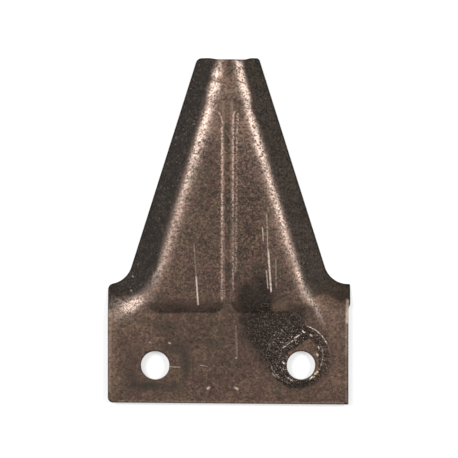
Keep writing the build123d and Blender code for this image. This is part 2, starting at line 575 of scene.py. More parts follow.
@dataclass(frozen=True)
class WearAndPaintedLight:
    """Where the scale is rubbed bright or dull, rippled, paler or darker, with painted highlight and
    shade.

    The bright streak along each bend is a painted highlight on rubbed metal,
    and the pads' lower wall and the left bevel get painted shade. A bright
    streak's middle and widths are in parts of the tilt from level to
    bevel. Each ease is over Y, or over X where its name ends in _x.
    """

    top: TopFace
    left_middle: float = 0.59
    left_outward: tuple[Ease, ...] = (Ease(0.15, 33.0, -5.0), Ease(0.05, 84.0, 8.0))
    right_middle: float = 0.63
    right_outward: tuple[Ease, ...] = (
        Ease(0.10, 82.0, 12.0),
        Ease(0.10, 91.5, 5.5),
        Ease(0.19, 38.0, -8.0),
        Ease(-0.08, 27.0, -4.0),
    )
    drift: float = 1.35
    drift_end: float = 66.0
    left_width: float = 0.27
    right_width: float = 0.23
    right_narrowing: tuple[Ease, ...] = (Ease(-0.09, 30.0, -8.0), Ease(-0.05, 80.0, 8.0))
    outer_width: float = 0.20
    fillet_narrowing: tuple[Ease, ...] = (Ease(-0.10, 36.0, -6.0),)
    tip_narrowing: Ease = Ease(-0.06, 84.0, 6.0)
    tip_narrowing_x: Ease = Ease(1.0, 0.0, 3.0)
    halo_width: float = 0.75
    halo_narrowing: tuple[Ease, ...] = (Ease(-0.6, 86.0, 5.0),)
    core_share: float = 0.82
    strength: float = 0.24
    left_gain: tuple[Ease, ...] = (Ease(0.08, 30.0, 26.0), Ease(0.40, 54.0, 22.0))
    left_heel: Ease = Ease(1.0, 21.0, 12.0)
    right_gain: tuple[Ease, ...] = (Ease(0.22, 26.0, 24.0), Ease(0.88, 57.0, 34.0))
    right_end_x: Ease = Ease(1.0, 31.2, -4.0)
    right_least: float = 0.05
    shoulder_shift_x: Ease = Ease(-0.30, 24.0, 8.0)
    mottling: float = 0.68
    pad_mottling: tuple[Ease, ...] = (Ease(0.27, 18.0, 6.0),)
    # Painted shade on the lower wall of the pads
    wall_end: float = 21.0
    wall_shade_strength: float = 0.42
    wall_share: Ease = Ease(1.0, 1.05, -0.85)
    wall_level: float = 0.8
    wall_swing: float = 0.55
    wall_range: Point = (0.3, 1.1)
    wall_patches: RandomField = RandomField(6.0, 31)
    wall_right: float = 0.4
    wall_left_x: tuple[Ease, ...] = (Ease(0.6, 3.0, -6.0),)
    wall_end_x: Ease = Ease(1.0, 15.0, -4.0)
    # Painted shade that darkens the left bevel
    left_bevel_painted_shade: float = 0.50
    left_bevel_shade_share: Ease = Ease(1.0, 0.8, 0.2)
    left_side_x: Ease = Ease(1.0, 0.0, -3.0)
    left_heel_x: Ease = Ease(1.0, -37.0, 9.0)
    bevel_shift: tuple[Blot, ...] = (
        Blot((-26.0, 29.6), (4.2, 5.5), 0.36),
        Blot((-25.6, 27.0), (2.6, 3.0), 0.10),
        Blot((26.0, 26.0), (3.4, 5.0), 0.30, -30.0),
        Blot((26.2, 22.8), (2.4, 2.2), 0.34, -45.0),
        Blot((34.4, 23.6), (4.6, 2.0), -0.16),
        Blot((-35.0, 22.6), (4.0, 2.0), -0.34),
    )
    ripple: Blot = Blot((5.0, 76.5), (1.7, 4.0), 0.32)
    ripple_pitch: float = 1.05
    # Patches of rub and painted highlight along the bends, such as the bright one in the left fillet
    bend_blots: tuple[Blot, ...] = (
        Blot((-30.8, 18.8), (3.8, 1.8), 0.86, 34.0),
        Blot((-33.6, 17.4), (6.0, 3.2), 0.18, 14.0),
        Blot((-35.8, 20.0), (3.0, 1.3), 0.30),
        Blot((-27.8, 20.7), (1.2, 1.2), 0.18),
        Blot((-22.9, 28.6), (4.0, 1.0), 0.15, 69.0),
        Blot((26.0, 21.6), (3.4, 0.8), 0.10, -60.0),
        Blot((28.6, 16.4), (2.8, 0.75), 0.46, -62.0),
        Blot((26.3, 19.7), (1.7, 0.7), 0.28, -55.0),
        Blot((6.2, 82.0), (3.0, 3.8), -0.40),
        Blot((6.9, 76.8), (1.8, 3.8), -0.20),
        Blot((-2.9, 88.0), (1.4, 2.2), 0.30),
        Blot((22.3, 28.8), (3.4, 0.55), 0.28, -72.0),
        Blot((27.6, 18.7), (1.6, 1.0), 0.24, -45.0),
        Blot((-3.9, 90.4), (2.4, 0.9), -0.45),
        Blot((-1.6, 95.8), (2.2, 2.0), -0.55),
        Blot((-6.2, 83.6), (1.6, 2.2), -0.36),
    )
    contrast: tuple[Blot, ...] = (
        Blot((7.0, 50.0), (4.0, 22.0), 0.40),
        Blot((-14.0, 18.6), (10.0, 2.4), -0.45),
        Blot((17.0, 19.4), (3.6, 2.0), -0.60),
        Blot((0.5, 81.0), (4.4, 3.6), -0.60),
    )
    tones: tuple[Blot, ...] = (
        Blot((0.0, 0.0), (60.0, 14.0), 0.11),
        Blot((0.0, 88.5), (3.6, 4.6), 0.35),
        Blot((-0.4, 95.0), (2.4, 2.8), -0.18),
        Blot((33.4, 24.0), (5.6, 2.8), 0.48),
        Blot((0.2, 80.8), (4.2, 3.4), 0.06),
        Blot((5.3, 75.5), (1.8, 4.6), 0.34),
        Blot((-4.6, 75.5), (1.9, 3.6), 0.28),
        Blot((-6.5, 55.0), (3.6, 11.0), -0.14),
        Blot((-11.0, 32.0), (9.0, 10.0), -0.08),
        Blot((7.0, 50.0), (3.6, 21.0), -0.22),
        Blot((0.8, 38.0), (1.6, 30.0), -0.22),
        Blot((8.0, 26.0), (8.0, 5.0), -0.22),
        Blot((-14.0, 19.0), (9.0, 3.0), -0.14),
        Blot((-14.0, 11.0), (9.0, 5.5), -0.16),
        Blot((-33.0, -4.0), (3.5, 14.0), -0.06),
        Blot((-36.8, 4.0), (1.6, 14.0), 0.35),
        Blot((30.5, -3.0), (3.0, 14.0), 0.12),
        Blot((24.0, 20.0), (5.0, 4.0), 0.06),
        Blot((23.8, 21.8), (1.8, 1.6), -0.18),
        Blot((-24.0, 21.8), (2.4, 1.8), -0.22),
        Blot((4.6, 73.6), (1.4, 3.4), 0.26),
        Blot((17.2, 18.9), (3.6, 1.6), 0.32),
        Blot((33.0, 12.0), (5.0, 5.0), 0.20),
        Blot((33.0, 20.6), (6.0, 4.0), 0.28),
        Blot((-29.0, 12.0), (6.0, 4.0), 0.12),
        Blot((0.0, 2.0), (12.0, 8.0), -0.18),
        Blot((18.6, 25.0), (3.0, 2.6), -0.38),
    )

    def middle(self, x: Array, y: Array) -> Array:
        """Find the tilt at which the streak, painted highlight and rub, is brightest.

        It moves outwards in both fillets and near the tip. On the right it
        also drifts inwards, by a cosine, as the edge turns round the fillet.

        Args:
            x: Places across, in millimetres.
            y: Places along, in millimetres.

        Returns:
            The tilt, from 0 for level to 1 for the bevel.
        """
        cx, cy = self.top.sizes.fillet_centre
        turn = np.arctan2(cy - y, np.maximum(cx - x, TINY))
        turn = np.clip(turn, 0.0, math.radians(self.drift_end))
        left = eased(self.left_middle, self.left_outward, y)
        right = self.right_middle + eased(0.0, self.right_outward, y)
        return np.where(x < 0, left, right * np.cos(self.drift * turn))

    def across(self, x: Array, y: Array) -> Array:
        """Shade the streak across the bend.

        It is the sum of a narrow bell curve of the tilt about the streak's
        middle, and of a wide one on the inner side alone.

        Args:
            x: Places across, in millimetres.
            y: Places along, in millimetres.

        Returns:
            The streak's share, 1 in its middle.
        """
        apart = self.top.tilt(x, y) - self.middle(x, y)
        outer_width = eased(self.outer_width, self.fillet_narrowing, y)
        outer_width = outer_width + self.tip_narrowing.at(y) * self.tip_narrowing_x.at(x)
        right_width = eased(self.right_width, self.right_narrowing, y)
        inner_width = np.where(x < 0, self.left_width, right_width)
        halo = self.halo_width * eased(1.0, self.halo_narrowing, y)
        core = np.exp(-((apart / np.where(apart > 0, outer_width, inner_width)) ** 2))
        wide = np.exp(-((apart / np.where(apart > 0, outer_width, halo)) ** 2))
        return self.core_share * core + (1 - self.core_share) * wide

    def bend(self, x: Array, y: Array) -> Array:
        """How far the bend is rubbed and painted with a highlight, along both sides.

        The streak's share across the bend is multiplied by its strength along
        it. The left one fades towards the heel, and the right one stays bright
        as far as the shoulder. The blots then add patches, such as the bright
        painted highlight in the left fillet.

        Args:
            x: Places across, in millimetres.
            y: Places along, in millimetres.

        Returns:
            The share of rubbed metal, from 0 to about 1.
        """
        left = eased(self.strength, self.left_gain, y) * self.left_heel.at(y)
        right = eased(self.strength, self.right_gain, y) * self.right_end_x.at(x) + self.right_least
        along = np.where(x < 0, left, right)
        return np.maximum(self.across(x, y) * along + blotted(self.bend_blots, x, y), 0.0)

    def bevel(self, x: Array, y: Array) -> Array:
        """Find the tilt that the bevel's dark colour follows.

        It sets in further out on both shoulders and further in round both
        fillets than the steel's own tilt.

        Args:
            x: Places across, in millimetres.
            y: Places along, in millimetres.

        Returns:
            The shifted tilt.
        """
        return self.top.tilt(x, y) + blotted(self.bevel_shift, x, y) + self.shoulder_shift_x.at(x)

    def unevenness(self, x: Array, y: Array) -> Array:
        """How strongly the scale is mottled: most on the pads, least on their dark wall."""
        return eased(self.mottling, self.pad_mottling, y) + blotted(self.contrast, x, y)

    def painted_wall_shade(self, x: Array, y: Array) -> Array:
        """Paint shade on the lower half of the pads' lower wall.

        It eases off up the wall, is patchy, and is weaker on the right pad,
        where it ends before the fillet.

        Args:
            x: Places across, in millimetres.
            y: Places along, in millimetres.

        Returns:
            The share of painted shade, from 0 to about 1.
        """
        share = np.maximum(self.top.pad_wall(x, y, Side.LEFT), self.top.pad_wall(x, y, Side.RIGHT))
        foot = np.where((share > 0.0) & (y < self.wall_end), self.wall_share.at(share), 0.0)
        patchy = np.clip(self.wall_level + self.wall_swing * self.wall_patches.at(x, y), *self.wall_range)
        return foot * patchy * eased(self.wall_right, self.wall_left_x, x) * self.wall_end_x.at(x)

    def tone(self, x: Array, y: Array) -> Array:
        """Pale and dark patches of the scale, with painted shade, about nought.

        The blots and the ripples, which are a sine along Y, are added, and the
        painted shade of the pads' lower wall and of the left bevel is taken off.

        Args:
            x: Places across, in millimetres.
            y: Places along, in millimetres.

        Returns:
            The tone to add, negative where the scale is darker.
        """
        ripples = self.ripple.at(x, y) * np.sin(2 * math.pi * y / self.ripple_pitch)
        painted_bevel_shade = self.left_bevel_shade_share.at(self.bevel(x, y))
        painted_bevel_shade = painted_bevel_shade * self.left_side_x.at(x) * self.left_heel_x.at(x)
        pale = blotted(self.tones, x, y) + ripples
        return pale - self.wall_shade_strength * self.painted_wall_shade(x, y) - self.left_bevel_painted_shade * painted_bevel_shade


@dataclass(frozen=True)
class Taper:
    """A blot whose width grows evenly from one end to the other, in millimetres."""

    start: Point
    end: Point
    start_radius: float
    end_radius: float

    def inside(self, x: Array, y: Array) -> Array:
        """Measure the distance inside the blot's rim.

        It is the blot's radius at the nearest place on its spine, less the
        distance to that place.

        Args:
            x: Places across, in millimetres.
            y: Places along, in millimetres.

        Returns:
            The distance, negative outside the blot.
        """
        dx, dy = self.end[0] - self.start[0], self.end[1] - self.start[1]
        share = ((x - self.start[0]) * dx + (y - self.start[1]) * dy) / (dx * dx + dy * dy)
        share = np.clip(share, 0.0, 1.0)
        gap = np.hypot(x - self.start[0] - share * dx, y - self.start[1] - share * dy)
        return self.start_radius + (self.end_radius - self.start_radius) * share - gap


@dataclass(frozen=True)
class Stains:
    """Where the dried film, its clean patches and the dark print of a head or washer lie."""

    plume: tuple[Taper, ...] = (
        Taper((6.5, 21.5), (11.0, 12.5), 4.2, 7.6),
        Taper((11.0, 12.5), (17.5, 6.6), 7.6, 9.2),
        Taper((10.5, 27.0), (12.0, 20.0), 2.0, 4.5),
        Taper((13.0, 15.5), (22.0, 14.0), 4.5, 3.2),
        Taper((22.0, 14.5), (24.6, 17.2), 2.8, 1.8),
    )
    ring: Taper = Taper((22.1, 2.95), (22.12, 2.96), 10.2, 10.2)
    clean_round: Taper = Taper((23.3, 4.3), (23.9, 0.6), 5.3, 5.2)
    clean_spot: Taper = Taper((15.4, 18.9), (18.8, 19.0), 2.2, 1.7)
    clean_edge: Point = (18.7, 3.9)
    clean_way: Point = (0.606, -0.795)
    print_blots: tuple[Blot, ...] = (
        Blot((-25.3, -6.4), (6.2, 1.8), 1.10),
        Blot((-30.6, -3.4), (2.2, 3.4), 0.95),
        Blot((-13.6, 0.6), (1.7, 4.6), 1.10),
        Blot((-17.0, 5.6), (3.4, 1.9), 1.0),
        Blot((-17.6, -6.4), (2.6, 1.7), 0.85),
        Blot((-30.9, 3.4), (1.8, 3.6), 0.6),
        Blot((-19.0, 12.5), (4.0, 2.2), 0.65),
    )

    def film(self, x: Array, y: Array) -> Array:
        """Distance inside the film: that inside the plume's blots or the ring's rim."""
        blots = [blot.inside(x, y) for blot in self.plume]
        return np.maximum.reduce(blots + [self.ring.inside(x, y)])

    def print_share(self, x: Array, y: Array) -> Array:
        """Share of the dark print round the left hole."""
        return np.clip(blotted(self.print_blots, x, y), 0.0, 1.0)

    def clean(self, x: Array, y: Array) -> Array:
        """Measure the distance inside the clean patches.

        They are a blot beside the right hole, cut off along a straight edge,
        and a spot on the pad's lower wall.

        Args:
            x: Places across, in millimetres.
            y: Places along, in millimetres.

        Returns:
            The distance, negative outside both.
        """
        edge_x, edge_y = self.clean_edge
        cut = (x - edge_x) * self.clean_way[0] + (y - edge_y) * self.clean_way[1]
        return np.maximum(np.minimum(self.clean_round.inside(x, y), cut), self.clean_spot.inside(x, y))


@dataclass
class BladeMesh:
    """The closed surface of the section: top face, sheared sides and underside."""

    sizes: SectionSizes
    outline: Outline
    top: TopFace
    roll_width: float = 0.32
    roll_drop: float = 0.26
    roll_rings: int = 4
    side_rings: int = 6
    side_lean: float = 0.02
    foot_break: float = 0.08
    tear: Ease = Ease(0.07, 0.375, 0.625)
    tear_field: RandomField = RandomField(0.5, 21)
    top_pitch: float = 0.34
    under_pitch: float = 3.0
    clearance: float = 0.6
    merge_gap: float = 1e-7
    batch: int = 4096
    sharp_angle: float = 40.0
    crest_rim: float = 0.4

    def hole_loop(self, side: Side) -> Array:
        """Lay points round one hole, clockwise, so that metal stays on the left.

        Args:
            side: Which hole.

        Returns:
            The points, radius times cosine and sine about the hole's centre.
        """
        radius = self.sizes.hole_diameter / 2
        count = math.ceil(2 * math.pi * radius / self.outline.step)
        angle = -2 * math.pi * np.arange(count) / count
        x = side.value * self.sizes.hole_spacing / 2
        return np.stack((x + radius * np.cos(angle), radius * np.sin(angle)), axis=1)

    def inward(self, loop: Array) -> Array:
        """Unit normals of a closed path, to its left: its chords' directions, turned."""
        chord = np.roll(loop, -1, axis=0) - np.roll(loop, 1, axis=0)
        chord /= np.linalg.norm(chord, axis=1, keepdims=True)
        return np.stack((-chord[:, 1], chord[:, 0]), axis=1)

    def rings(self, loop: Array) -> Array:
        """Carry the edge's profile along a closed path.

        From the top face inside the edge, a quarter of an ellipse rolls over
        to the side, which drops in even steps to a small break at the foot.
        The side leans in a little, and its lower part is torn further in.

        Args:
            loop: The path's points, N by 2.

        Returns:
            The rings' points from the top down, rings by N by 3.
        """
        normal = self.inward(loop)
        angles = np.linspace(0.0, math.pi / 2, self.roll_rings + 1)
        insets = self.roll_width * (1.0 - np.sin(angles))
        drops = self.roll_drop * (1.0 - np.cos(angles))
        edge = loop + normal * self.roll_width
        crest, brink = self.top.surface(*edge.T), self.top.surface(*loop.T)
        rings = []
        for inset, drop in zip(insets, drops):
            place = loop + normal * inset
            share = inset / self.roll_width
            level = crest * share + brink * (1 - share) - drop
            rings.append(np.column_stack((place, level)))
        low = rings[-1][:, 2]
        for step in range(1, self.side_rings + 1):
            share = step / self.side_rings
            level = low + (self.foot_break - low) * share
            grain = self.tear_field.at(np.cumsum(np.full_like(low, self.outline.step)), level)
            push = self.tear.at(np.full_like(low, share)) * (1.0 + grain) / 2
            inset = self.side_lean * share + push
            rings.append(np.column_stack((loop + normal * inset[:, None], level)))
        foot = loop + normal * (self.foot_break + self.side_lean)
        rings.append(np.column_stack((foot, np.zeros(len(loop)))))
        return np.array(rings)

    def inside(self, points: Array, loop: Array) -> Array:
        """Tell which points a closed path holds: those with an odd number of crossings to their right.

        Args:
            points: The points, N by 2.
            loop: The path's points, M by 2.

        Returns:
            Whether the path holds each point.
        """
        ends = np.roll(loop, -1, axis=0)
        held = np.zeros(len(points), dtype=bool)
        for first in range(0, len(points), self.batch):
            last = first + self.batch
            px, py = points[first:last, :1], points[first:last, 1:]
            spans = (loop[:, 1] > py) != (ends[:, 1] > py)
            rise = np.where(ends[:, 1] == loop[:, 1], 1.0, ends[:, 1] - loop[:, 1])
            cross = loop[:, 0] + (py - loop[:, 1]) / rise * (ends[:, 0] - loop[:, 0])
            held[first:last] = (spans & (cross > px)).sum(axis=1) % 2 == 1
        return held

    def lattice(self, loops: list[Array], pitch: float) -> Array:
        """Lay staggered points over the metal, clear of every path.

        Their rows are the pitch times the root of three quarters apart, so
        that three neighbours make an even triangle.

        Args:
            loops: The outer path first, then the holes' paths.
            pitch: The distance between neighbours, in millimetres.

        Returns:
            The points, M by 2.
        """
        low, high = loops[0].min(axis=0), loops[0].max(axis=0)
        rows = np.arange(low[1], high[1], pitch * math.sqrt(0.75))
        columns = np.arange(low[0], high[0], pitch)
        x, y = np.meshgrid(columns, rows)
        x[1::2] += pitch / 2
        points = np.column_stack((x.ravel(), y.ravel()))
        points = points[self.inside(points, loops[0])]
        for hole in loops[1:]:
            points = points[~self.inside(points, hole)]
        borders = np.concatenate(loops)
        near = np.empty(len(points))
        for first in range(0, len(points), self.batch // 2):
            last = first + self.batch // 2
            gap = points[first:last, None, :] - borders[None, :, :]
            near[first:last] = (gap**2).sum(axis=2).min(axis=1)
        return points[near > (self.clearance * min(pitch, self.outline.step * 2)) ** 2]

    def triangulate(self, loops: list[Array], pitch: float) -> tuple[Array, Array]:
        """Cover the metal between the paths with triangles.

        A triangle with all its corners on one path lies in the metal only
        where it turns left in the path's order.

        Args:
            loops: The outer path first, then the holes' paths.
            pitch: The distance between inner points, in millimetres.

        Returns:
            The points, with the paths' own first, and the triangles.
        """
        owner = np.concatenate([np.full(len(p), i) for i, p in enumerate(loops)])
        points = np.concatenate(loops + [self.lattice(loops, pitch)])
        starts = np.cumsum([0] + [len(p) for p in loops])
        edges = []
        for first, loop in zip(starts, loops):
            index = np.arange(len(loop))
            edges += np.column_stack((first + index, first + np.roll(index, -1))).tolist()
        result = delaunay_2d_cdt(points.tolist(), edges, [], 0, self.merge_gap, False)
        if len(result[0]) != len(points):
            raise ValueError("the triangulation moved a point")
        faces = np.array(result[2])
        faces = np.where(turning(points, faces)[:, None] > 0, faces, faces[:, ::-1])

        owned = np.full(len(points), -1)
        owned[: len(owner)] = owner
        who = owned[faces]
        same = (who[:, 0] >= 0) & (who[:, 0] == who[:, 1]) & (who[:, 1] == who[:, 2])
        return points, faces[~same | (turning(points, np.sort(faces, axis=1)) > 0)]

    def side_faces(self, loops: list[Array], layers: list[int]) -> Array:
        """Join each ring to the next one down, round every path.

        Args:
            loops: The outer path first, then the holes' paths.
            layers: Where each ring's points start in the mesh, from the top down.

        Returns:
            The faces, K by 4.
        """
        quads = []
        starts = np.cumsum([0] + [len(loop) for loop in loops])
        for first, loop in zip(starts, loops):
            here = first + np.arange(len(loop))
            there = first + np.roll(np.arange(len(loop)), -1)
            for upper, lower in zip(layers[:-1], layers[1:]):
                quads.append(np.column_stack((lower + here, lower + there, upper + there, upper + here)))
        return np.concatenate(quads)

    def build(self, name: str) -> bpy.types.Object:
        """Join the top, the sides and the underside into one closed mesh.

        Args:
            name: The piece's name.

        Returns:
            The new object, with its place in its mesh, in metres.
        """
        loops = [self.outline.loop()] + [self.hole_loop(side) for side in Side]
        ring_sets = [self.rings(loop) for loop in loops]
        crests = [rings[0][:, :2] for rings in ring_sets]
        feet = [rings[-1][:, :2] for rings in ring_sets]
        top_points, top_faces = self.triangulate(crests, self.top_pitch)
        under_points, under_faces = self.triangulate(feet, self.under_pitch)

        border = sum(len(loop) for loop in loops)
        heights = self.top.surface(*top_points.T)
        heights[:border] = np.concatenate([rings[0][:, 2] for rings in ring_sets])
        top_block = np.column_stack((top_points, heights))
        under_block = np.column_stack((under_points, np.zeros(len(under_points))))
        inner = range(1, len(ring_sets[0]) - 1)
        between = [np.concatenate([rings[k] for rings in ring_sets]) for k in inner]
        side_block = np.concatenate(between)
        points = np.concatenate((top_block, under_block, side_block))
        under_first, side_first = len(top_block), len(top_block) + len(under_block)

        layers = [0] + [side_first + border * k for k in range(len(between))] + [under_first]
        faces = top_faces.tolist() + (under_faces[:, ::-1] + under_first).tolist()
        faces += self.side_faces(loops, layers).tolist()

        mesh = bpy.data.meshes.new(name)
        mesh.from_pydata((points * MM).tolist(), [], faces)
        mesh.shade_smooth()
        mesh.set_sharp_from_angle(angle=math.radians(self.sharp_angle))
        mesh.update()
        rim = np.zeros(len(points))
        rim[side_first : side_first + border * self.roll_rings] = 1.0
        rim[:border] = self.crest_rim
        wall = np.zeros(len(points))
        wall[side_first + border * (self.roll_rings - 1) :] = 1.0
        self.mark(mesh, points[:, 0], points[:, 1], {"rim": rim, "wall": wall})
        piece = bpy.data.objects.new(name, mesh)
        bpy.context.scene.collection.objects.link(piece)
        LOG.info("%s: %d points, %d faces", name, len(points), len(faces))
        return piece

    def mark(self, mesh: bpy.types.Mesh, x: Array, y: Array, parts: dict[str, Array]) -> None:
        """Keep what the material needs to know of each point of the mesh.

        Args:
            mesh: The mesh.
            x: Its points' places across, in millimetres.
            y: Their places along, in millimetres.
            parts: Numbers that tell the rolled rim and the sides.
        """
        wear_and_light, stains = WearAndPaintedLight(self.top), Stains()
        fields = parts | {
            "bevel": wear_and_light.bevel(x, y),
            "rub_and_highlight": wear_and_light.bend(x, y),
            "tone": wear_and_light.tone(x, y),
            "uneven": wear_and_light.unevenness(x, y),
            "film": stains.film(x, y),
            "ring": stains.ring.inside(x, y),
            "ring_x": x - stains.ring.start[0],
            "ring_y": y - stains.ring.start[1],
            "clean": stains.clean(x, y),
            "print": stains.print_share(x, y),
        }
        for name, values in fields.items():
            layer = mesh.attributes.new(name, "FLOAT", "POINT")
            layer.data.foreach_set("value", np.asarray(values, dtype=np.float32))


@dataclass(frozen=True)
class Stroke:
    """A thin scratch or a small mark, in millimetres, with its strength."""

    start: Point
    end: Point
    width: float
    strength: float


@dataclass(frozen=True)
class Ramp:
    """An ease from bottom to top as a number goes from low to high."""

    low: float
    high: float
    bottom: float = 0.0
    top: float = 1.0


@dataclass(frozen=True)
class Marks:
    """Strokes of one kind, and the ramp by which the finest grain breaks them up."""

    strokes: tuple[Stroke, ...]
    broken: Ramp = Ramp(0.30, 0.48, 0.35)


@dataclass(frozen=True)
class Arc:
    """A thin painted highlight arc inside the ring print's rim, on the film's raised edge.

    The level is its distance inside the rim and the width its reach to either
    side of that, in millimetres. Its middle direction and half its opening are
    in degrees.
    """

    level: float
    width: float
    middle: float
    half: float
    strength: float


@dataclass(frozen=True)
class Grain:
    """A smooth random field of the material.

    It has a feature size in millimetres, a number and a strength of finer
    layers, an offset that makes it independent of the others, and a stretch
    along each axis.
    """

    size: float
    detail: float = 2.0
    rough: float = 0.5
    shift: tuple[float, float, float] = (0.0, 0.0, 0.0)
    stretch: tuple[float, float, float] = (1.0, 1.0, 1.0)


class Layer(Enum):
    """The random fields that all of the steel's finishes share."""

    FINE = Grain(0.62, 1.0, 0.6)
    GRAIN = Grain(1.1, 2.0, 0.65, (7.0, 3.0, 1.0))
    MOTTLE = Grain(3.4, 3.0, 0.6, (2.0, 9.0, 4.0))
    CLOUD = Grain(13.0, 2.0, 0.5, (5.0, 1.0, 8.0))


# A Mix node's sockets for colours, whose names its other sockets share
MIX_FIRST = 6
MIX_SECOND = 7
MIX_RESULT = 2

Socket = bpy.types.NodeSocket
Feed = Socket | float | tuple[float, ...]
Colour = tuple[float, float, float]
Swing = tuple[Layer, float]


@dataclass
class NodeSheet:
    """Short words for the nodes of one material."""

    tree: bpy.types.NodeTree

    def feed(self, value: Feed, target: Socket) -> None:
        """Link a socket to an input, or set the input to a value.

        Args:
            value: A socket, a number or a colour.
            target: The input.
        """
        if isinstance(value, bpy.types.NodeSocket):
            self.tree.links.new(value, target)
        elif isinstance(value, tuple) and target.type == "RGBA":
            target.default_value = (*value, 1.0)[:4]
        else:
            target.default_value = value

    def math(self, operation: str, first: Feed, second: Feed = 0.0, clamp: bool = False) -> Socket:
        """Join two numbers.

        Args:
            operation: Blender's name for how they are joined.
            first: The first number.
            second: The second one.
            clamp: Whether the result is held between 0 and 1.

        Returns:
            The result.
        """
        node = self.tree.nodes.new("ShaderNodeMath")
        node.operation = operation
        node.use_clamp = clamp
        self.feed(first, node.inputs[0])
        self.feed(second, node.inputs[1])
        return node.outputs[0]

    def times(self, first: Feed, second: Feed) -> Socket:
        """Multiply two numbers."""
        return self.math("MULTIPLY", first, second)

    def total(self, *values: Feed) -> Socket:
        """Add several numbers, from the first to the last."""
        return reduce(lambda sum_so_far, value: self.math("ADD", sum_so_far, value), values)

    def greatest(self, *values: Feed) -> Socket:
        """Take the greatest of several numbers."""
        return reduce(lambda best, value: self.math("MAXIMUM", best, value), values)

    def ramp(self, value: Feed, ramp: Ramp) -> Socket:
        """Ease a number by a ramp: three t squared less two t cubed.

        Args:
            value: The number.
            ramp: Where it sets in and ends, and what it gives there.

        Returns:
            The eased number, held at both ends.
        """
        node = self.tree.nodes.new("ShaderNodeMapRange")
        node.interpolation_type = "SMOOTHSTEP"
        self.feed(value, node.inputs["Value"])
        node.inputs["From Min"].default_value = ramp.low
        node.inputs["From Max"].default_value = ramp.high
        node.inputs["To Min"].default_value = ramp.bottom
        node.inputs["To Max"].default_value = ramp.top
        return node.outputs["Result"]

    def mix(self, share: Feed, first: Feed, second: Feed) -> Socket:
        """Blend two colours.

        Args:
            share: The second colour's share.
            first: The first colour.
            second: The second one.

        Returns:
            The blended colour.
        """
        node = self.tree.nodes.new("ShaderNodeMix")
        node.data_type = "RGBA"
        self.feed(share, node.inputs[0])
        self.feed(first, node.inputs[MIX_FIRST])
        self.feed(second, node.inputs[MIX_SECOND])
        return node.outputs[MIX_RESULT]

    def vector(self, operation: str, first: Feed, second: Feed, socket: int | str = 1) -> bpy.types.Node:
        """Join two vectors, or a vector and a number.

        Args:
            operation: Blender's name for how they are joined.
            first: The first vector or colour.
            second: The second vector, or the number.
            socket: The input that takes the second one.

        Returns:
            The node.
        """
        node = self.tree.nodes.new("ShaderNodeVectorMath")
        node.operation = operation
        self.feed(first, node.inputs[0])
        self.feed(second, node.inputs[socket])
        return node

    def tint(self, colour: Feed, factor: Feed) -> Socket:
        """Multiply a colour by a number."""
        return self.vector("SCALE", colour, factor, "Scale").outputs[0]

    def attribute(self, name: str) -> Socket:
        """Read a number kept on the mesh's points."""
        node = self.tree.nodes.new("ShaderNodeAttribute")
        node.attribute_name = name
        return node.outputs["Fac"]

    def place(self) -> Socket:
        """Places on the piece, in millimetres."""
        coords = self.tree.nodes.new("ShaderNodeTexCoord")
        return self.vector("SCALE", coords.outputs["Object"], 1.0 / MM, "Scale").outputs[0]

    def noise(self, place: Socket, grain: Grain) -> Socket:
        """Lay a smooth random field over the piece.

        Args:
            place: Places in millimetres.
            grain: What the field is like.

        Returns:
            The field, from about 0 to 1.
        """
        moved = self.tree.nodes.new("ShaderNodeMapping")
        moved.inputs["Location"].default_value = grain.shift
        moved.inputs["Scale"].default_value = tuple(1.0 / stretch for stretch in grain.stretch)
        self.tree.links.new(place, moved.inputs["Vector"])
        node = self.tree.nodes.new("ShaderNodeTexNoise")
        node.inputs["Scale"].default_value = 1.0 / grain.size
        node.inputs["Detail"].default_value = grain.detail
        node.inputs["Roughness"].default_value = grain.rough
        self.tree.links.new(moved.outputs["Vector"], node.inputs["Vector"])
        return node.outputs["Fac"]

    def length(self, first: Socket, second: Socket) -> Socket:
        """Length of a step along and a step across: the root of the sum of their squares."""
        squares = [self.math("POWER", self.math("ABSOLUTE", step), 2.0) for step in (first, second)]
        return self.math("SQRT", self.total(*squares))

    def stroke(self, place: Socket, mark: Stroke) -> Socket:
        """Draw one thin mark: full on its line, and nought at its width from it.

        The distance is that to the nearest place on the line, so the place
        along it is held between its ends.

        Args:
            place: Places in millimetres.
            mark: The mark.

        Returns:
            The mark's strength at each place.
        """
        ax, ay = mark.start
        dx, dy = mark.end[0] - ax, mark.end[1] - ay
        length = math.hypot(dx, dy)
        offset = self.vector("SUBTRACT", place, (ax, ay, 0.0)).outputs[0]
        ways = ((dx / length, dy / length, 0.0), (-dy / length, dx / length, 0.0))
        along, across = (self.vector("DOT_PRODUCT", offset, way).outputs["Value"] for way in ways)
        held = self.math("MINIMUM", self.math("MAXIMUM", along, 0.0), length)
        gap = self.length(self.math("SUBTRACT", along, held), across)
        return self.times(self.ramp(gap, Ramp(mark.width, 0.0)), mark.strength)


@dataclass(frozen=True)
class SteelFinish:
    """Colours and gloss of the heat-treated steel and of what lies on it, with the colours of painted
    highlights and glints.
    """

    dark: Colour = (0.037, 0.026, 0.019)
    brown: Colour = (0.090, 0.052, 0.040)
    olive: Colour = (0.078, 0.053, 0.036)
    pale: Colour = (0.204, 0.125, 0.086)
    bevel: Colour = (0.041, 0.030, 0.022)
    fringe: Colour = (0.052, 0.031, 0.022)
    # Rubbed metal, with the painted highlight of the bends and of the right edge
    rubbed_and_highlight: Colour = (0.43, 0.324, 0.270)
    film: Colour = (0.0165, 0.0104, 0.0068)
    print_olive: Colour = (0.046, 0.038, 0.027)
    crust: Colour = (0.14, 0.102, 0.083)
    # Bright scratches and chips, and painted glints
    scratch_and_glint: Colour = (0.66, 0.53, 0.45)
    # Painted highlight on the groove's walls
    groove_highlight: Colour = (0.40, 0.275, 0.225)
    gold: Colour = (0.60, 0.45, 0.27)
    sheared: Colour = (0.16, 0.13, 0.115)
    metallic: float = 0.7
    roughness: float = 0.42
    roughness_swing: Swing = (Layer.FINE, 0.05)
    worn_gloss: float = -0.1


